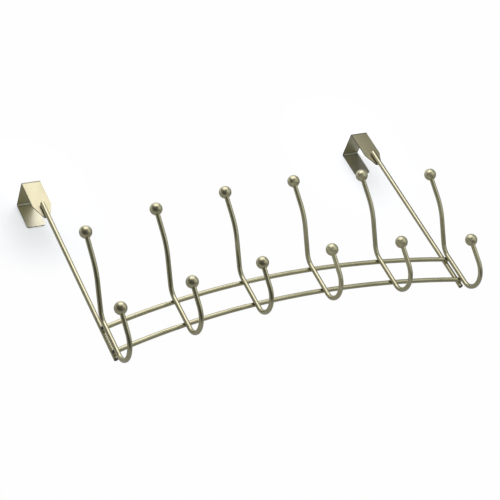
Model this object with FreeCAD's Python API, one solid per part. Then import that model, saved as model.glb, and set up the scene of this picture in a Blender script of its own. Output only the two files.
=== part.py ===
import FreeCAD, Part
import math
import os

# Over door hook: a welded steel wire rack of six double hooks that hangs from two folded brackets.
# Millimetres. X runs along the rack, +Z is up and -Y points from the door into the room.
# The origin is on the door's top edge, midway between the brackets and midway through the door.

# Brackets: one strip of sheet each, folded over the top of the door
door_gap = 36.0
sheet_thickness = 1.2
fold_inner_radius = 0.6
bracket_width = 22.5
front_plate_height = 57.0
front_taper_height = 18.5
front_tip_width = 7.5
taper_corner_radius = 4.0
tip_corner_radius = 1.2
back_plate_height = 37.0
back_corner_radius = 2.2

# Hanger rods: straight wires that join the brackets to the rails
rod_diameter = 5.5
rod_length = 230.5
rod_top_below_bracket_top = 36.5
rod_stub_below_rail = 7.0
rod_dome_radius = 2.2
rod_seat_flat_depth = 0.15
rod_seat_run_out = 0.6

# Rails: two like wires, each bent to one shallow arch between the rods
rail_diameter = 5.5
rail_spacing = 32.5
rail_arch_rise = 24.6

# Hooks: one bent wire each, six in a row, the end ones straight in front of the rods
hook_count = 6
hook_spacing = 90.0
hook_diameter = 5.5
base_above_upper_rail = 0.5
base_below_lower_rail = 9.2
arm_lower_bend_radius = 20.0
arm_lean_angle = 48.0
arm_middle_run = 29.5
arm_upper_bend_radius = 65.0
arm_straighten_angle = 25.0
arm_run_to_ball = 28.5
throat_back_bend_radius = 14.0
throat_back_bend_angle = 45.0
throat_front_bend_radius = 22.5
throat_front_bend_angle = 112.0
prong_run_to_ball = 27.5

# Balls: drilled half through and pressed on the ends of the hook wires
ball_diameter = 14.4
ball_socket_depth = 6.0
ball_socket_clearance = 0.05
ball_mouth_chamfer = 0.35

# Welds and wire ends: crossing wires sink a little into each other
weld_set_down = 0.2
weld_seat_margin = 0.5
cut_end_chamfer = 0.4

# Places that follow from the sizes above
half_bracket = bracket_width / 2
bracket_depth = door_gap + 2 * sheet_thickness
fold_outer_radius = fold_inner_radius + sheet_thickness
rod_radius = rod_diameter / 2
rail_radius = rail_diameter / 2
hook_radius = hook_diameter / 2
ball_radius = ball_diameter / 2
row_half_length = hook_spacing * (hook_count - 1) / 2
front_face_y = -bracket_depth / 2
front_tip_z = sheet_thickness - front_plate_height
rod_y = front_face_y - rod_radius + rod_seat_flat_depth
rail_y = rod_y - rod_radius - rail_radius + weld_set_down
hook_y = rail_y - rail_radius - hook_radius + weld_set_down
rod_top_z = sheet_thickness - rod_top_below_bracket_top
rod_bottom_z = rod_top_z - rod_length
lower_rail_end_z = rod_bottom_z + rod_stub_below_rail
upper_rail_end_z = lower_rail_end_z + rail_spacing
arch_radius = (row_half_length ** 2 + rail_arch_rise ** 2) / (2 * rail_arch_rise)
X_AXIS = FreeCAD.Vector(1, 0, 0)
Y_AXIS = FreeCAD.Vector(0, 1, 0)
Z_AXIS = FreeCAD.Vector(0, 0, 1)


def export(shape, node):
    """Write one piece and stop if it isn't one sound solid."""
    if not shape.isValid() or len(shape.Solids) != 1:
        raise ValueError(node + " isn't one valid solid")
    shape.Solids[0].exportStep("parts/" + node + ".step")


def rounded_outline(corners):
    """A closed wire through the corners, each a point and the radius that rounds it."""
    edges = []
    ends = []
    for index, (point, radius) in enumerate(corners):
        before = (corners[index - 1][0] - point).normalize()
        after = (corners[(index + 1) % len(corners)][0] - point).normalize()
        half_corner = before.getAngle(after) / 2
        setback = radius / math.tan(half_corner)
        start = point + before * setback
        end = point + after * setback
        if radius > 0:
            to_centre = (before + after).normalize()
            middle = point + to_centre * (radius / math.sin(half_corner) - radius)
            edges.append(Part.Arc(start, middle, end).toShape())
        ends.append((start, end))
    for index, (start, end) in enumerate(ends):
        next_start = ends[(index + 1) % len(ends)][0]
        edges.append(Part.makeLine(end, next_start))
    return Part.Wire(Part.__sortEdges__(edges))


def rail_rise(x):
    """How far the arch stands at x above its height at the rods."""
    return math.sqrt(arch_radius ** 2 - x ** 2) - (arch_radius - rail_arch_rise)


def seat_half_size(radius_a, radius_b):
    """Half the side of the square that holds the flat where an upright wire meets a sloping rail."""
    radius = max(radius_a, radius_b)
    sunk = weld_set_down / 2
    half_chord = math.sqrt(2 * radius * sunk - sunk ** 2)
    slope = math.asin(row_half_length / arch_radius)
    return half_chord * (1 / math.cos(slope) + math.tan(slope)) + weld_seat_margin


def crossing_cutter(x, z, contact_y, side, radius_a, radius_b):
    """A block on one side of a weld's plane: side 1 lies towards the door, -1 towards the room."""
    half = seat_half_size(radius_a, radius_b)
    depth = max(radius_a, radius_b)
    near_y = contact_y if side > 0 else contact_y - depth
    corner = FreeCAD.Vector(x - half, near_y, z - half)
    return Part.makeBox(2 * half, depth, 2 * half, corner)


def make_bracket(x):
    """A strip folded to a channel, its front end tapered and its back corners rounded."""
    outer = bracket_depth / 2
    inner = door_gap / 2
    back_end_z = sheet_thickness - back_plate_height
    section = [
        (FreeCAD.Vector(x, -outer, front_tip_z), 0),
        (FreeCAD.Vector(x, -outer, sheet_thickness), fold_outer_radius),
        (FreeCAD.Vector(x, outer, sheet_thickness), fold_outer_radius),
        (FreeCAD.Vector(x, outer, back_end_z), 0),
        (FreeCAD.Vector(x, inner, back_end_z), 0),
        (FreeCAD.Vector(x, inner, 0), fold_inner_radius),
        (FreeCAD.Vector(x, -inner, 0), fold_inner_radius),
        (FreeCAD.Vector(x, -inner, front_tip_z), 0),
    ]
    strip = Part.Face(rounded_outline(section)).extrude(X_AXIS * bracket_width)
    strip.translate(X_AXIS * -half_bracket)

    # The strip's plates are trimmed to these outlines, which run past the folds at the top
    taper_z = front_tip_z + front_taper_height
    above_z = 2 * sheet_thickness
    half_tip = front_tip_width / 2
    front = [
        (FreeCAD.Vector(x - half_bracket, -outer, above_z), 0),
        (FreeCAD.Vector(x + half_bracket, -outer, above_z), 0),
        (FreeCAD.Vector(x + half_bracket, -outer, taper_z), taper_corner_radius),
        (FreeCAD.Vector(x + half_tip, -outer, front_tip_z), tip_corner_radius),
        (FreeCAD.Vector(x - half_tip, -outer, front_tip_z), tip_corner_radius),
        (FreeCAD.Vector(x - half_bracket, -outer, taper_z), taper_corner_radius),
    ]
    back = [
        (FreeCAD.Vector(x - half_bracket, 0, above_z), 0),
        (FreeCAD.Vector(x + half_bracket, 0, above_z), 0),
        (FreeCAD.Vector(x + half_bracket, 0, back_end_z), back_corner_radius),
        (FreeCAD.Vector(x - half_bracket, 0, back_end_z), back_corner_radius),
    ]
    front_blank = Part.Face(rounded_outline(front)).extrude(Y_AXIS * outer)
    back_blank = Part.Face(rounded_outline(back)).extrude(Y_AXIS * outer)
    return strip.common(front_blank.fuse(back_blank)).removeSplitter()


def make_hanger_rod(x):
    """A straight wire, domed at the top, flattened where it lies on the front plate."""
    dome = min(rod_dome_radius, rod_radius)
    dome_centre = FreeCAD.Vector(x + rod_radius - dome, rod_y, rod_top_z - dome)
    dome_side = dome_centre + X_AXIS * dome
    dome_middle = dome_centre + (X_AXIS + Z_AXIS).normalize() * dome
    dome_top = dome_centre + Z_AXIS * dome
    bottom = FreeCAD.Vector(x, rod_y, rod_bottom_z)
    top = FreeCAD.Vector(x, rod_y, rod_top_z)
    cut_rim = bottom + X_AXIS * (rod_radius - cut_end_chamfer)
    chamfer_top = bottom + X_AXIS * rod_radius + Z_AXIS * cut_end_chamfer
    outline = [
        Part.makeLine(top, bottom),
        Part.makeLine(bottom, cut_rim),
        Part.makeLine(cut_rim, chamfer_top),
        Part.makeLine(chamfer_top, dome_side),
        Part.Arc(dome_side, dome_middle, dome_top).toShape(),
    ]
    if dome < rod_radius:
        outline.append(Part.makeLine(dome_top, top))
    rod = Part.Face(Part.Wire(outline)).revolve(bottom, Z_AXIS, 360)

    flat_bottom_z = front_tip_z - rod_seat_run_out
    corner = FreeCAD.Vector(x - rod_radius, front_face_y, flat_bottom_z)
    flat = Part.makeBox(rod_diameter, rod_radius, rod_top_z - flat_bottom_z + rod_radius, corner)
    rod = rod.cut(flat)
    contact_y = rod_y - rod_radius + weld_set_down / 2
    for end_z in (lower_rail_end_z, upper_rail_end_z):
        rod = rod.cut(crossing_cutter(x, end_z, contact_y, -1, rod_radius, rail_radius))
    return rod


def make_rail(end_z):
    """A round wire bent to a shallow arch, its chamfered ends flush with the outsides of the rods."""
    centre = FreeCAD.Vector(0, rail_y, end_z + rail_arch_rise - arch_radius)
    end_angle = math.asin((row_half_length + rod_radius) / arch_radius)
    half_angle = end_angle - cut_end_chamfer / arch_radius
    crown = centre + Z_AXIS * arch_radius
    section = Part.Face(Part.Wire(Part.makeCircle(rail_radius, crown, X_AXIS)))
    section.rotate(centre, Y_AXIS, -math.degrees(half_angle))
    rail = section.revolve(centre, Y_AXIS, 2 * math.degrees(half_angle))
    for side in (-1, 1):
        out_of_arch = FreeCAD.Vector(side * math.sin(half_angle), 0, math.cos(half_angle))
        along_wire = FreeCAD.Vector(side * math.cos(half_angle), 0, -math.sin(half_angle))
        chamfer_start = centre + out_of_arch * arch_radius
        end_radius = rail_radius - cut_end_chamfer
        tip = Part.makeCone(rail_radius, end_radius, cut_end_chamfer, chamfer_start, along_wire)
        rail = rail.fuse(tip)

    rod_side_y = rail_y + rail_radius - weld_set_down / 2
    hook_side_y = rail_y - rail_radius + weld_set_down / 2
    for x in (-row_half_length, row_half_length):
        rail = rail.cut(crossing_cutter(x, end_z, rod_side_y, 1, rod_radius, rail_radius))
    for x in hook_places():
        z = end_z + rail_rise(x)
        rail = rail.cut(crossing_cutter(x, z, hook_side_y, -1, hook_radius, rail_radius))
    return rail


def hook_places():
    """The middle of each hook along the rack, from left to right."""
    return [index * hook_spacing - row_half_length for index in range(hook_count)]


def hook_moves():
    """The hook wire from its upper end down: straight runs (length, 0) and bends (radius, turn)."""
    end_short_of_ball_centre = ball_radius - ball_socket_depth
    return {
        "arm_end": (arm_run_to_ball - end_short_of_ball_centre, 0),
        "arm_upper_bend": (arm_upper_bend_radius, arm_straighten_angle),
        "arm_middle": (arm_middle_run, 0),
        "arm_lower_bend": (arm_lower_bend_radius, -arm_lean_angle),
        "base": (base_above_upper_rail + rail_spacing + base_below_lower_rail, 0),
        "throat_back_bend": (throat_back_bend_radius, -throat_back_bend_angle),
        "throat_front_bend": (throat_front_bend_radius, -throat_front_bend_angle),
        "prong": (prong_run_to_ball - end_short_of_ball_centre, 0),
    }


def hook_direction(heading):
    """The direction that stands at this many degrees from straight up, leaning into the room."""
    angle = math.radians(heading)
    return FreeCAD.Vector(0, -math.sin(angle), math.cos(angle))


def trace_hook(x, rail_z):
    """The legs of a hook's centre line by name: each its start, middle, end and heading at both ends.

    They are first laid out from the upper ball, then moved so that the upright base stands in
    front of the rails. A straight leg has no middle.
    """
    point = FreeCAD.Vector(0, 0, 0)
    heading = 180 + arm_lean_angle - arm_straighten_angle
    laid = {}
    for name, (size, turn) in hook_moves().items():
        if turn:
            side = math.copysign(90, turn)
            centre = point + hook_direction(heading + side) * size
            middle = centre - hook_direction(heading + turn / 2 + side) * size
            end = centre - hook_direction(heading + turn + side) * size
        else:
            middle = None
            end = point + hook_direction(heading) * size
        laid[name] = (point, middle, end, heading, heading + turn)
        point = end
        heading = heading + turn
    base_top_z = rail_z + rail_spacing + base_above_upper_rail
    shift = FreeCAD.Vector(x, hook_y, base_top_z) - laid["base"][0]
    return {
        name: (start + shift, middle + shift if middle else None, end + shift, first, last)
        for name, (start, middle, end, first, last) in laid.items()
    }


def make_hook_wire(x, rail_z, legs):
    """One round wire along the centre line, flattened where it is welded to the rails."""
    edges = []
    for start, middle, end, first, last in legs.values():
        edges.append(Part.Arc(start, middle, end).toShape() if middle else Part.makeLine(start, end))
    upper_end = legs["arm_end"][0]
    upper_heading = legs["arm_end"][3]
    section = Part.Wire(Part.makeCircle(hook_radius, upper_end, hook_direction(upper_heading)))
    wire = Part.Wire(edges).makePipeShell([section], True, False)
    contact_y = hook_y + hook_radius - weld_set_down / 2
    for z in (rail_z, rail_z + rail_spacing):
        wire = wire.cut(crossing_cutter(x, z, contact_y, 1, hook_radius, rail_radius))
    return wire


def make_ball(wire_end, out):
    """A turned ball with a blind, slightly countersunk socket; out is the way the wire points."""
    centre = wire_end + out * (ball_radius - ball_socket_depth)
    socket_radius = hook_radius + ball_socket_clearance
    mouth_radius = socket_radius + ball_mouth_chamfer
    mouth_depth = math.sqrt(ball_radius ** 2 - mouth_radius ** 2)
    floor_depth = ball_radius - ball_socket_depth
    floor = centre - out * floor_depth
    socket_corner = floor + X_AXIS * socket_radius
    mouth = centre - out * mouth_depth + X_AXIS * mouth_radius
    chamfer_top = mouth + out * ball_mouth_chamfer - X_AXIS * ball_mouth_chamfer
    crown = centre + out * ball_radius
    outline = Part.Wire([
        Part.makeLine(crown, floor),
        Part.makeLine(floor, socket_corner),
        Part.makeLine(socket_corner, chamfer_top),
        Part.makeLine(chamfer_top, mouth),
        Part.Arc(mouth, centre + X_AXIS * ball_radius, crown).toShape(),
    ])
    return Part.Face(outline).revolve(centre, out, 360)


os.makedirs("parts", exist_ok=True)
for side, x in (("left", -row_half_length), ("right", row_half_length)):
    export(make_bracket(x), side + "_bracket")
    export(make_hanger_rod(x), side + "_hanger_rod")
export(make_rail(upper_rail_end_z), "upper_rail")
export(make_rail(lower_rail_end_z), "lower_rail")
for number, x in enumerate(hook_places(), start=1):
    rail_z = lower_rail_end_z + rail_rise(x)
    legs = trace_hook(x, rail_z)
    export(make_hook_wire(x, rail_z, legs), "hook_wire_" + str(number))
    upper_end = legs["arm_end"][0]
    out_of_upper_end = hook_direction(legs["arm_end"][3] + 180)
    lower_end = legs["prong"][2]
    out_of_lower_end = hook_direction(legs["prong"][4])
    export(make_ball(upper_end, out_of_upper_end), "upper_ball_" + str(number))
    export(make_ball(lower_end, out_of_lower_end), "lower_ball_" + str(number))
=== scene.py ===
import math

import bmesh
import bpy
from mathutils import Euler, Matrix, Vector


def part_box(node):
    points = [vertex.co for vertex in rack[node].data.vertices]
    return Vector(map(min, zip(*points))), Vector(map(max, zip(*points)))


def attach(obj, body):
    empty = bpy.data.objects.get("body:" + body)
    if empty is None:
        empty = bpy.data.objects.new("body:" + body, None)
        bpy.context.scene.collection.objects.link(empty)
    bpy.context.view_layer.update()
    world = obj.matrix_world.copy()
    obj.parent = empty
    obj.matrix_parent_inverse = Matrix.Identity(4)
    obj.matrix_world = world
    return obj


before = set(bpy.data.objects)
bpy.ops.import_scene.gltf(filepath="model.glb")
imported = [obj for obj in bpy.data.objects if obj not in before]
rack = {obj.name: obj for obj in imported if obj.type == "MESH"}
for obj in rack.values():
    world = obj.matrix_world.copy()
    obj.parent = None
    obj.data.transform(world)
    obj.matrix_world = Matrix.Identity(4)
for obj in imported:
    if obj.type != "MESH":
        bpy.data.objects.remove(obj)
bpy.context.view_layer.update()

# Over door hook: a welded wire coat rack with six double hooks, plated in satin champagne nickel.
# The frame is in metres, with the door's top edge at the origin and -Y out into the room.
mm = 0.001
bpy.ops.object.select_all(action="DESELECT")


# Camera: a long lens that looks up at the rack from below and from its left, so that the
# undersides of the brackets show, as they do in the photograph.
camera_place_mm = (-805.15, -1245.18, -1073.50)
camera_turn_deg = (125.8703, 24.5895, -16.2477)
lens_mm = 106.905
sensor_mm = 36.0
camera_data = bpy.data.cameras.new("camera")
camera_data.lens = lens_mm
camera_data.sensor_width = sensor_mm
camera = bpy.data.objects.new("camera", camera_data)
camera.location = Vector(camera_place_mm) * mm
camera.rotation_euler = Euler([math.radians(angle) for angle in camera_turn_deg], "XYZ")
bpy.context.scene.collection.objects.link(camera)
bpy.context.scene.camera = camera


# Door brackets: two strips of 1.2 mm mild steel, punched to their outline and folded over the
# door. The strip was brushed along its length while it was flat, so under the satin plate faint
# straight lines run up the front plate, over the top and down the back.
def from_hex(code):
    """A linear colour from an sRGB hex value."""
    channels = [int(code[place:place + 2], 16) / 255 for place in (1, 3, 5)]
    linear = [c / 12.92 if c <= 0.04045 else ((c + 0.055) / 1.055) ** 2.4 for c in channels]
    return (*linear, 1.0)


def add_node(tree, kind, inputs=None, **settings):
    """Add a node, set its properties, and link each input to another node or set its value."""
    node = tree.nodes.new(kind)
    for name, value in settings.items():
        setattr(node, name, value)
    for name, value in (inputs or {}).items():
        if isinstance(value, bpy.types.NodeSocket):
            tree.links.new(value, node.inputs[name])
        else:
            node.inputs[name].default_value = value
    return node


def satin_nickel(name, light_tone, dark_tone, haze, haze_range, grain_mm, grain_depth_mm, lacquer):
    """Satin champagne nickel under clear lacquer, with grain of a given size along X, Y and Z.

    To the eye it is a warm grey mirror with a soft haze. The tone drifts a little over a
    centimetre or two, as plating does, and the polisher's grain breaks up the highlights' edges.
    """
    drift_mm = 14.0
    drift_range = (0.35, 0.65)
    grain_range = (0.3, 0.7)
    noise_detail = 2.0
    lacquer_haze = 0.15
    finish = bpy.data.materials.new(name)
    finish.use_nodes = True
    tree = finish.node_tree
    tree.nodes.clear()
    place = add_node(tree, "ShaderNodeTexCoord").outputs["Object"]
    drift = add_node(tree, "ShaderNodeTexNoise", {
        "Vector": place, "Scale": 1 / (drift_mm * mm), "Detail": noise_detail})
    tone = add_node(tree, "ShaderNodeValToRGB", {"Fac": drift.outputs["Fac"]})
    for stop, position, code in zip(tone.color_ramp.elements, drift_range, (dark_tone, light_tone)):
        stop.position = position
        stop.color = from_hex(code)
    grain_place = add_node(tree, "ShaderNodeMapping", {
        "Vector": place, "Scale": [1 / (size * mm) for size in grain_mm]})
    grain = add_node(tree, "ShaderNodeTexNoise", {
        "Vector": grain_place.outputs["Vector"], "Scale": 1.0, "Detail": noise_detail})
    hazes = add_node(tree, "ShaderNodeMapRange", {
        "Value": grain.outputs["Fac"], "From Min": grain_range[0], "From Max": grain_range[1],
        "To Min": haze - haze_range, "To Max": haze + haze_range})
    scratches = add_node(tree, "ShaderNodeBump", {
        "Height": grain.outputs["Fac"], "Strength": 1.0, "Distance": grain_depth_mm * mm})
    plate = add_node(tree, "ShaderNodeBsdfPrincipled", {
        "Base Color": tone.outputs["Color"], "Metallic": 1.0, "Roughness": hazes.outputs["Result"],
        "Normal": scratches.outputs["Normal"], "Coat Weight": lacquer, "Coat Roughness": lacquer_haze})
    add_node(tree, "ShaderNodeOutputMaterial", {"Surface": plate.outputs["BSDF"]})
    return finish


def tint(finish, shade):
    """Multiply a finish's tone by the colour or the number that another node gives."""
    tree = finish.node_tree
    plate = tree.nodes["Principled BSDF"]
    tone = plate.inputs["Base Color"].links[0].from_socket
    tinted = add_node(tree, "ShaderNodeVectorMath", {0: tone, 1: shade}, operation="MULTIPLY")
    tree.links.new(tinted.outputs["Vector"], plate.inputs["Base Color"])


def plate_piece(node_name, finish):
    """Give one of the rack's pieces its finish."""
    mesh = rack[node_name].data
    mesh.materials.clear()
    mesh.materials.append(finish)


# Real brushing lines are about 0.1 mm apart. They are drawn 0.5 mm apart here, so that they show.
strap_finish = satin_nickel(
    "satin_nickel_on_brushed_steel_strip", light_tone="#cdc7a4", dark_tone="#c5bf9b",
    haze=0.38, haze_range=0.06, grain_mm=(0.5, 40.0, 40.0), grain_depth_mm=0.012, lacquer=0.5)
tree = strap_finish.node_tree
spot = add_node(tree, "ShaderNodeTexCoord")
at = add_node(tree, "ShaderNodeSeparateXYZ", {"Vector": spot.outputs["Object"]})
facing = add_node(tree, "ShaderNodeSeparateXYZ", {"Vector": spot.outputs["Normal"]})
from_middle = add_node(tree, "ShaderNodeMath", {0: at.outputs["Y"]}, operation="ABSOLUTE")

# The inside of the channel is painted paler and greyer: painted light, standing in for light bounced
# into it.
door_gap_mm = 36.0
inner_face_mm = door_gap_mm / 2
inside_starts_mm = 0.3
inside_is_full_mm = 0.1
painted_inside_light = (1.16, 1.2, 1.36, 1)
no_shade = (1, 1, 1, 1)
between_plates = add_node(tree, "ShaderNodeMapRange", {
    "Value": from_middle.outputs["Value"],
    "From Min": (inner_face_mm + inside_starts_mm) * mm,
    "From Max": (inner_face_mm + inside_is_full_mm) * mm})
under_top = add_node(tree, "ShaderNodeMapRange", {
    "Value": at.outputs["Z"], "From Min": inside_starts_mm * mm, "From Max": inside_is_full_mm * mm})
inside = add_node(tree, "ShaderNodeMath", {
    0: between_plates.outputs["Result"], 1: under_top.outputs["Result"]}, operation="MULTIPLY")
painted_inside_light_tone = add_node(tree, "ShaderNodeValToRGB", {"Fac": inside.outputs["Value"]})
painted_inside_light_tone.color_ramp.elements[0].color = no_shade
painted_inside_light_tone.color_ramp.elements[1].color = painted_inside_light
tint(strap_finish, painted_inside_light_tone.outputs["Color"])

# A painted highlight runs inside each fold and a painted line of shade outside it. The stops are
# distances from the centre of the fold's inner radius.
fold_inner_radius_mm = 0.6
painted_fold_highlight = (1.4, 1.45, 1.75, 1)
painted_fold_shade = (0.5, 0.5, 0.5, 1)
fold_reach_mm = 4.0
fold_stops = ((0.0, painted_fold_highlight), (1.0, painted_fold_highlight), (1.28, no_shade),
              (1.44, painted_fold_shade), (1.88, painted_fold_shade), (2.12, no_shade))
fold_centre_mm = (0, inner_face_mm - fold_inner_radius_mm, -fold_inner_radius_mm)
across_fold = add_node(tree, "ShaderNodeCombineXYZ", {
    "Y": from_middle.outputs["Value"], "Z": at.outputs["Z"]})
from_fold = add_node(tree, "ShaderNodeVectorMath", {
    0: across_fold.outputs["Vector"], 1: Vector(fold_centre_mm) * mm}, operation="DISTANCE")
fold_share = add_node(tree, "ShaderNodeMapRange", {
    "Value": from_fold.outputs["Value"], "From Min": 0.0, "From Max": fold_reach_mm * mm})
painted_fold_light_tone = add_node(tree, "ShaderNodeValToRGB", {"Fac": fold_share.outputs["Result"]})
while len(painted_fold_light_tone.color_ramp.elements) < len(fold_stops):
    painted_fold_light_tone.color_ramp.elements.new(1.0)
for stop, (distance_mm, shade) in zip(painted_fold_light_tone.color_ramp.elements, fold_stops):
    stop.position = distance_mm / fold_reach_mm
    stop.color = shade
tint(strap_finish, painted_fold_light_tone.outputs["Color"])

# Punched edges are painted darker, as painted shade. They are the faces that look sideways, and those
# that look down where the front plate and the flap end.
side_facing = (0.2, 0.3)
down_facing = (-0.5, -0.6)
end_zone_mm = -10.0
painted_edge_shade = 0.2
sideways = add_node(tree, "ShaderNodeMath", {0: facing.outputs["X"]}, operation="ABSOLUTE")
side_edge = add_node(tree, "ShaderNodeMapRange", {
    "Value": sideways.outputs["Value"], "From Min": side_facing[0], "From Max": side_facing[1]})
downwards = add_node(tree, "ShaderNodeMapRange", {
    "Value": facing.outputs["Z"], "From Min": down_facing[0], "From Max": down_facing[1]})
at_ends = add_node(tree, "ShaderNodeMath", {
    0: at.outputs["Z"], 1: end_zone_mm * mm}, operation="LESS_THAN")
end_edge = add_node(tree, "ShaderNodeMath", {
    0: downwards.outputs["Result"], 1: at_ends.outputs["Value"]}, operation="MULTIPLY")
cut_edge = add_node(tree, "ShaderNodeMath", {
    0: side_edge.outputs["Result"], 1: end_edge.outputs["Value"]}, operation="MAXIMUM")
painted_edge_shade_tone = add_node(tree, "ShaderNodeMapRange", {
    "Value": cut_edge.outputs["Value"], "To Min": 1.0, "To Max": painted_edge_shade})
tint(strap_finish, painted_edge_shade_tone.outputs["Result"])
plate_piece("left_bracket", strap_finish)
plate_piece("right_bracket", strap_finish)


# Hanger rods: two straight lengths of 5.5 mm drawn steel wire, one end domed, each resistance
# welded flat on its bracket's front plate and running down past both rails. Tumbling leaves drawn
# wire an even satin. Its grain is finer than 0.6 mm, and is drawn that wide so that it shows.
wire_finish = satin_nickel(
    "satin_nickel_on_drawn_steel_wire", light_tone="#d4d0ac", dark_tone="#cdc9a5",
    haze=0.28, haze_range=0.02, grain_mm=(0.6, 0.6, 0.6), grain_depth_mm=0.0008, lacquer=0.5)
tree = wire_finish.node_tree
spot = add_node(tree, "ShaderNodeTexCoord")
at = add_node(tree, "ShaderNodeSeparateXYZ", {"Vector": spot.outputs["Object"]})
facing = add_node(tree, "ShaderNodeSeparateXYZ", {"Vector": spot.outputs["Normal"]})

# The rods' saw-cut feet are darker. Where a rod lies on its front plate, its rear half is painted as
# dark: painted shade in the groove between rod and plate.
rod_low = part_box("left_hanger_rod")[0]
rail_low, rail_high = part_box("upper_rail")
rail_middle = (rail_low.y + rail_high.y) / 2
bracket_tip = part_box("left_bracket")[0].z
foot_depth_mm = 0.5
groove_starts_mm = 1.95
groove_is_full_mm = 3.35
dark_end_and_painted_shade = 0.2
low_enough = add_node(tree, "ShaderNodeMath", {
    0: at.outputs["Z"], 1: rod_low.z + foot_depth_mm * mm}, operation="LESS_THAN")
behind_rails = add_node(tree, "ShaderNodeMath", {
    0: at.outputs["Y"], 1: rail_middle}, operation="GREATER_THAN")
foot = add_node(tree, "ShaderNodeMath", {
    0: low_enough.outputs["Value"], 1: behind_rails.outputs["Value"]}, operation="MULTIPLY")
on_plate = add_node(tree, "ShaderNodeMath", {
    0: at.outputs["Z"], 1: bracket_tip}, operation="GREATER_THAN")
rear_half = add_node(tree, "ShaderNodeMapRange", {
    "Value": at.outputs["Y"],
    "From Min": rod_low.y + groove_starts_mm * mm,
    "From Max": rod_low.y + groove_is_full_mm * mm})
groove = add_node(tree, "ShaderNodeMath", {
    0: rear_half.outputs["Result"], 1: on_plate.outputs["Value"]}, operation="MULTIPLY")
foot_or_shaded_groove = add_node(tree, "ShaderNodeMath", {
    0: foot.outputs["Value"], 1: groove.outputs["Value"]}, operation="MAXIMUM")
foot_and_painted_groove_tone = add_node(tree, "ShaderNodeMapRange", {
    "Value": foot_or_shaded_groove.outputs["Value"], "To Min": 1.0, "To Max": dark_end_and_painted_shade})
tint(wire_finish, foot_and_painted_groove_tone.outputs["Result"])
plate_piece("left_hanger_rod", wire_finish)
plate_piece("right_hanger_rod", wire_finish)


# Rails: the same wire, rolled to one shallow arch and welded across the fronts of the rods. They
# were plated in the same bath as everything else, after the welding. Their saw-cut tips look
# sideways, and are as dark as the rods' feet.
tip_facing = 0.85
tip_half_width_mm = 2.3
sideways = add_node(tree, "ShaderNodeMath", {0: facing.outputs["X"]}, operation="ABSOLUTE")
end_face = add_node(tree, "ShaderNodeMath", {
    0: sideways.outputs["Value"], 1: tip_facing}, operation="GREATER_THAN")
on_rail = add_node(tree, "ShaderNodeMath", {
    0: at.outputs["Y"], 1: rail_middle, 2: tip_half_width_mm * mm}, operation="COMPARE")
rail_tip = add_node(tree, "ShaderNodeMath", {
    0: end_face.outputs["Value"], 1: on_rail.outputs["Value"]}, operation="MULTIPLY")
tip_tone = add_node(tree, "ShaderNodeMapRange", {
    "Value": rail_tip.outputs["Value"], "To Min": 1.0, "To Max": dark_end_and_painted_shade})
tint(wire_finish, tip_tone.outputs["Result"])
plate_piece("upper_rail", wire_finish)
plate_piece("lower_rail", wire_finish)


# Hook wires: six lengths of the same wire, each bent on four mandrels to a leaning arm, an upright
# base and an open throat, and welded across the fronts of both rails.
hook_count = 6
for number in range(1, hook_count + 1):
    plate_piece("hook_wire_" + str(number), wire_finish)


# Balls: turned from round steel bar, drilled 6 mm deep and pressed on both ends of each hook wire.
# Turning leaves them a little softer in gloss than the wire, under the same plate. Their grain too
# is drawn coarser than it really is.
ball_finish = satin_nickel(
    "satin_nickel_on_turned_steel", light_tone="#d8d3af", dark_tone="#d2cda9",
    haze=0.34, haze_range=0.04, grain_mm=(0.5, 0.5, 0.5), grain_depth_mm=0.002, lacquer=0.5)
for number in range(1, hook_count + 1):
    plate_piece("upper_ball_" + str(number), ball_finish)
    plate_piece("lower_ball_" + str(number), ball_finish)


# Welds: where two wires cross they are pressed together and a short heavy current melts the spot
# where they touch. A narrow collar of squeezed-out steel stays around it and is plated over.
rod_spacing_mm = 450.0
hook_spacing_mm = 90.0
rail_end_heights_mm = (-258.8, -226.3)
arch_rise_mm = 24.6
rod_weld_plane_mm = -24.45
hook_weld_plane_mm = -29.75
half_length_mm = rod_spacing_mm / 2
arch_radius_mm = (half_length_mm ** 2 + arch_rise_mm ** 2) / (2 * arch_rise_mm)
arch_drop_mm = arch_radius_mm - arch_rise_mm

collar_radius_mm = 1.9
collar_thickness_mm = 0.62
collar_rim_mm = 0.28
collar_sides = 32
rim_steps = 4
level_mm = 0.01
smooth_angle_deg = 40
bpy.ops.mesh.primitive_cylinder_add(
    vertices=collar_sides, radius=collar_radius_mm * mm, depth=collar_thickness_mm * mm,
    rotation=(math.radians(90), 0, 0))
collar = bpy.context.active_object
bpy.ops.object.transform_apply(location=True, rotation=True, scale=True)
bpy.ops.object.mode_set(mode="EDIT")
bpy.ops.mesh.select_all(action="DESELECT")
collar_mesh = bmesh.from_edit_mesh(collar.data)
for edge in collar_mesh.edges:
    start, end = edge.verts
    edge.select = abs(start.co.y - end.co.y) < level_mm * mm
bmesh.update_edit_mesh(collar.data)
bpy.ops.mesh.bevel(offset=collar_rim_mm * mm, segments=rim_steps, affect="EDGES")
bpy.ops.object.mode_set(mode="OBJECT")
bpy.ops.object.shade_smooth_by_angle(angle=math.radians(smooth_angle_deg))
collar.data.materials.append(wire_finish)

crossings = []
for end_height in rail_end_heights_mm:
    for side in (-1, 1):
        crossings.append((side * half_length_mm, rod_weld_plane_mm, end_height))
    for number in range(hook_count):
        x = number * hook_spacing_mm - half_length_mm
        rise = math.sqrt(arch_radius_mm ** 2 - x ** 2) - arch_drop_mm
        crossings.append((x, hook_weld_plane_mm, end_height + rise))
for number, crossing in enumerate(crossings, start=1):
    weld = bpy.data.objects.new("weld_collar_" + str(number), collar.data.copy())
    weld.data.transform(Matrix.Translation(Vector(crossing) * mm))
    bpy.context.scene.collection.objects.link(weld)
    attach(weld, "root")
bpy.data.objects.remove(collar)
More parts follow.
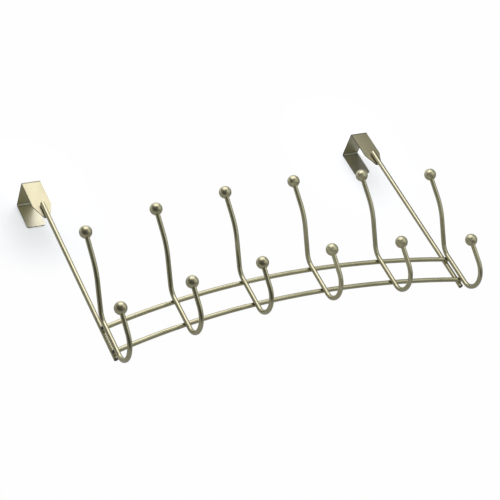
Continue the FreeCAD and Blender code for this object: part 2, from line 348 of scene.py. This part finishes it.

# The tight corners beside the hooks' welds are painted dark: painted shade, where the two wires shade
# each other. The place is folded at every hook and between the two rails, so that the twelve crossings
# become one, and the arch is taken off its height.
corner_dark_mm = 2.0
corner_ends_mm = 4.2
painted_corner_shade = 0.25
rails_mean_mm = sum(rail_end_heights_mm) / 2
rail_half_gap_mm = (rail_end_heights_mm[1] - rail_end_heights_mm[0]) / 2
folded_crossing_mm = (hook_spacing_mm / 2, hook_weld_plane_mm, rail_half_gap_mm)
folded_x = add_node(tree, "ShaderNodeMath", {
    0: at.outputs["X"], 1: hook_spacing_mm / 2 * mm}, operation="PINGPONG")
squared_x = add_node(tree, "ShaderNodeMath", {
    0: at.outputs["X"], 1: at.outputs["X"]}, operation="MULTIPLY")
squared_height = add_node(tree, "ShaderNodeMath", {
    0: (arch_radius_mm * mm) ** 2, 1: squared_x.outputs["Value"]}, operation="SUBTRACT")
arch = add_node(tree, "ShaderNodeMath", {0: squared_height.outputs["Value"]}, operation="SQRT")
off_arch = add_node(tree, "ShaderNodeMath", {
    0: at.outputs["Z"], 1: arch.outputs["Value"]}, operation="SUBTRACT")
off_middle = add_node(tree, "ShaderNodeMath", {
    0: off_arch.outputs["Value"], 1: (rails_mean_mm - arch_drop_mm) * mm}, operation="SUBTRACT")
folded_z = add_node(tree, "ShaderNodeMath", {0: off_middle.outputs["Value"]}, operation="ABSOLUTE")
folded_place = add_node(tree, "ShaderNodeCombineXYZ", {
    "X": folded_x.outputs["Value"], "Y": at.outputs["Y"], "Z": folded_z.outputs["Value"]})
from_crossing = add_node(tree, "ShaderNodeVectorMath", {
    0: folded_place.outputs["Vector"], 1: Vector(folded_crossing_mm) * mm}, operation="DISTANCE")
painted_corner_shade_tone = add_node(tree, "ShaderNodeMapRange", {
    "Value": from_crossing.outputs["Value"],
    "From Min": corner_dark_mm * mm, "From Max": corner_ends_mm * mm,
    "To Min": painted_corner_shade, "To Max": 1.0})
tint(wire_finish, painted_corner_shade_tone.outputs["Result"])


# Card: the rack lies on its back flaps on white card, which stands where the door's far face would
# be. The photograph is exposed until the card burns out to white, except near the flaps, where
# their shadows show. From behind, the card isn't there.
card_size_mm = 5000.0
card_gap_mm = 0.1
flap_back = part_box("left_bracket")[1].y
bpy.ops.mesh.primitive_plane_add(size=card_size_mm * mm, rotation=(math.radians(90), 0, 0))
card = bpy.context.active_object
card.name = "white_card"
card.location = (0, flap_back + card_gap_mm * mm, 0)
bpy.ops.object.transform_apply(location=True, rotation=True, scale=True)

# The camera sees the card as the photograph has it. To the metal the card glows an even grey of its
# own, which grows lighter above the rack: painted light in place of the lit card.
light_above_mm = 120.0
glow_beside_rack = 0.32
glow_above_rack = 0.7
white = (1, 1, 1, 1)
burnt_white = (0.99, 0.99, 0.99, 1)
extra_exposure = (0.42, 0.44, 0.45, 1)
shadow_middle_mm = 20.0
shadow_is_full_mm = 50.0
shadow_ends_mm = 95.0
card_finish = bpy.data.materials.new("matt_white_card")
card_finish.use_nodes = True
tree = card_finish.node_tree
tree.nodes.clear()
rays = add_node(tree, "ShaderNodeLightPath")
faces = add_node(tree, "ShaderNodeNewGeometry")
where = add_node(tree, "ShaderNodeTexCoord").outputs["Object"]
height = add_node(tree, "ShaderNodeSeparateXYZ", {"Vector": where}).outputs["Z"]
glow = add_node(tree, "ShaderNodeMapRange", {
    "Value": height, "From Min": 0.0, "From Max": light_above_mm * mm,
    "To Min": glow_beside_rack, "To Max": glow_above_rack})
to_metal = add_node(tree, "ShaderNodeEmission", {"Color": white, "Strength": glow.outputs["Result"]})
lit_card = add_node(tree, "ShaderNodeBsdfDiffuse", {"Color": white})
exposure = add_node(tree, "ShaderNodeEmission", {"Color": extra_exposure, "Strength": 1.0})
shadowed_card = add_node(tree, "ShaderNodeAddShader", {
    0: lit_card.outputs["BSDF"], 1: exposure.outputs["Emission"]})
either_side = add_node(tree, "ShaderNodeVectorMath", {0: where}, operation="ABSOLUTE")
from_flap = add_node(tree, "ShaderNodeVectorMath", {
    0: either_side.outputs["Vector"],
    1: (half_length_mm * mm, flap_back, shadow_middle_mm * mm)}, operation="DISTANCE")
burnt_out = add_node(tree, "ShaderNodeMapRange", {
    "Value": from_flap.outputs["Value"],
    "From Min": shadow_is_full_mm * mm, "From Max": shadow_ends_mm * mm,
    "To Min": 0.0, "To Max": 1.0}, interpolation_type="SMOOTHSTEP")
burnt_card = add_node(tree, "ShaderNodeEmission", {"Color": burnt_white, "Strength": 1.0})
to_camera = add_node(tree, "ShaderNodeMixShader", {
    "Fac": burnt_out.outputs["Result"],
    1: shadowed_card.outputs["Shader"], 2: burnt_card.outputs["Emission"]})
front = add_node(tree, "ShaderNodeMixShader", {
    "Fac": rays.outputs["Is Camera Ray"],
    1: to_metal.outputs["Emission"], 2: to_camera.outputs["Shader"]})
behind = add_node(tree, "ShaderNodeBsdfTransparent")
whole = add_node(tree, "ShaderNodeMixShader", {
    "Fac": faces.outputs["Backfacing"], 1: front.outputs["Shader"], 2: behind.outputs["BSDF"]})
add_node(tree, "ShaderNodeOutputMaterial", {"Surface": whole.outputs["Shader"]})
card.data.materials.append(card_finish)


# Flag: a narrow board covered in black felt, just right of the rack. It shows only in the metal, as
# the dark side of the right bracket and wires. The camera doesn't see it, and it throws no shadow.
flag_height_mm = 380.0
flag_depth_mm = 68.0
flag_place_mm = (270.0, -16.0, -110.0)
felt_roughness = 0.9
bpy.ops.mesh.primitive_plane_add(size=1.0, rotation=(0, math.radians(90), 0))
flag = bpy.context.active_object
flag.name = "black_flag"
flag.scale = (flag_height_mm * mm, flag_depth_mm * mm, 1)
flag.location = Vector(flag_place_mm) * mm
bpy.ops.object.transform_apply(location=True, rotation=True, scale=True)
flag.visible_camera = False
flag.visible_shadow = False
flag.visible_diffuse = False
felt_finish = bpy.data.materials.new("black_felt")
felt_finish.use_nodes = True
tree = felt_finish.node_tree
tree.nodes.clear()
felt = add_node(tree, "ShaderNodeBsdfPrincipled", {
    "Base Color": from_hex("#303030"), "Roughness": felt_roughness})
add_node(tree, "ShaderNodeOutputMaterial", {"Surface": felt.outputs["BSDF"]})
flag.data.materials.append(felt_finish)


# Light: a large softbox in front of the rack and above it, with weak panels overhead, on the right
# and low on the right. The last and weakest is close below the rack and turned to the right hooks,
# whose darks it lifts.
def hang_light(name, width_mm, height_mm, radiance, place_mm, aim_mm, colour=(1.0, 1.0, 1.0)):
    """A flat lamp of even brightness, turned to face a point."""
    lamp = bpy.data.lights.new(name, "AREA")
    lamp.shape = "RECTANGLE"
    lamp.size = width_mm * mm
    lamp.size_y = height_mm * mm
    lamp.color = colour
    lamp.energy = radiance * math.pi * lamp.size * lamp.size_y
    holder = bpy.data.objects.new(name, lamp)
    holder.location = Vector(place_mm) * mm
    aim = Vector(aim_mm) - Vector(place_mm)
    holder.rotation_euler = aim.to_track_quat("-Z", "Y").to_euler()
    holder.visible_camera = False
    bpy.context.scene.collection.objects.link(holder)


rack_middle_mm = (0, -20, -130)
hang_light("softbox", width_mm=1050, height_mm=860, radiance=1.42, colour=(1.025, 0.99, 1.07),
           place_mm=(-10, -748, 400), aim_mm=rack_middle_mm)
hang_light("overhead_panel", width_mm=600, height_mm=450, radiance=0.5,
           place_mm=(0, -176, 756), aim_mm=rack_middle_mm)
hang_light("side_panel", width_mm=600, height_mm=420, radiance=0.5,
           place_mm=(476, -781, -193), aim_mm=rack_middle_mm)
hang_light("low_panel", width_mm=760, height_mm=400, radiance=0.36,
           place_mm=(380, -460, -440), aim_mm=(200, -60, -150))
hang_light("right_hooks_panel", width_mm=300, height_mm=340, radiance=0.2,
           place_mm=(40, -190, -330), aim_mm=(310, -130, -216))


# Room: pale walls with a faint green cast, dimmest low on the left. The metal sees them so, and the
# camera sees plain white.
dim_side = Vector((-0.70, -0.36, -0.62)).normalized()
brightest_wall = 0.42
dimmest_wall = 0.05
wall_tone = (0.975, 1.0, 0.94, 1)
room = bpy.data.worlds.new("room")
room.use_nodes = True
bpy.context.scene.world = room
tree = room.node_tree
tree.nodes.clear()
rays = add_node(tree, "ShaderNodeLightPath")
way = add_node(tree, "ShaderNodeTexCoord").outputs["Generated"]
towards_dim = add_node(tree, "ShaderNodeVectorMath", {0: way, 1: dim_side}, operation="DOT_PRODUCT")
dimming = add_node(tree, "ShaderNodeMapRange", {
    "Value": towards_dim.outputs["Value"], "From Min": -1.0, "From Max": 1.0,
    "To Min": brightest_wall, "To Max": dimmest_wall})
walls = add_node(tree, "ShaderNodeBackground", {
    "Color": wall_tone, "Strength": dimming.outputs["Result"]})
backdrop = add_node(tree, "ShaderNodeBackground", {"Color": white, "Strength": 1.0})
around = add_node(tree, "ShaderNodeMixShader", {
    "Fac": rays.outputs["Is Camera Ray"],
    1: walls.outputs["Background"], 2: backdrop.outputs["Background"]})
add_node(tree, "ShaderNodeOutputWorld", {"Surface": around.outputs["Shader"]})
bpy.context.scene.view_settings.view_transform = "Standard"
